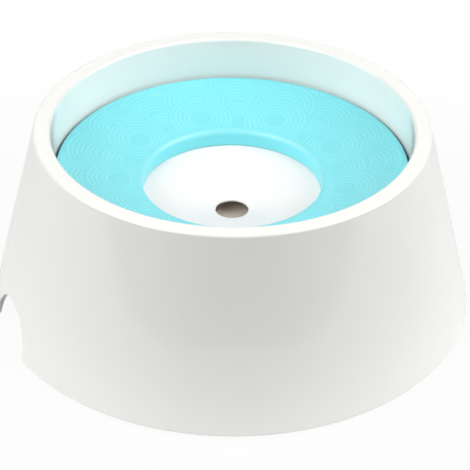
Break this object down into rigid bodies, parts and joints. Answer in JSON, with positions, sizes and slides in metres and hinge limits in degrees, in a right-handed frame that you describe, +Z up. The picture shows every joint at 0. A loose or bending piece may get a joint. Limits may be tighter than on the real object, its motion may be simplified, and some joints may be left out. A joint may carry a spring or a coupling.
{
  "type": "no spill dog water bowl",
  "caption": "Conical spill-proof water bowl for a dog: thick rim, finger notches, inner basin and a hollow float that meters water through a centre hole into a shallow drinking dish.",
  "frame": {"origin": "on the standing surface, at the centre of the bowl", "axes": "+Z up through the centre hole of the float; the two finger notches face +X and -X; -Y is the front"},
  "size_m": [0.2458, 0.2496, 0.1001],
  "materials": {
    "shell_plastic": "glossy moulded polypropylene",
    "basin_plastic": "smooth moulded polypropylene",
    "ring_plastic": "satin light blue plastic with a fine moulded wave pattern",
    "dish_plastic": "smooth white polypropylene",
    "foot_rubber": "soft pale grey rubber"
  },
  "bodies": {
    "bowl": {"outer_shell": "shell_plastic", "water_basin": "basin_plastic", "foot_front_left": "foot_rubber", "foot_front_right": "foot_rubber", "foot_back_left": "foot_rubber", "foot_back_right": "foot_rubber"},
    "float": {"float_ring": "ring_plastic", "float_dish": "dish_plastic"}
  },
  "joints": [
    {"name": "float_rise", "type": "slide", "parent": "bowl", "child": "float", "axis": [0, 0, 1], "range_m": [0, 0.06]}
  ]
}
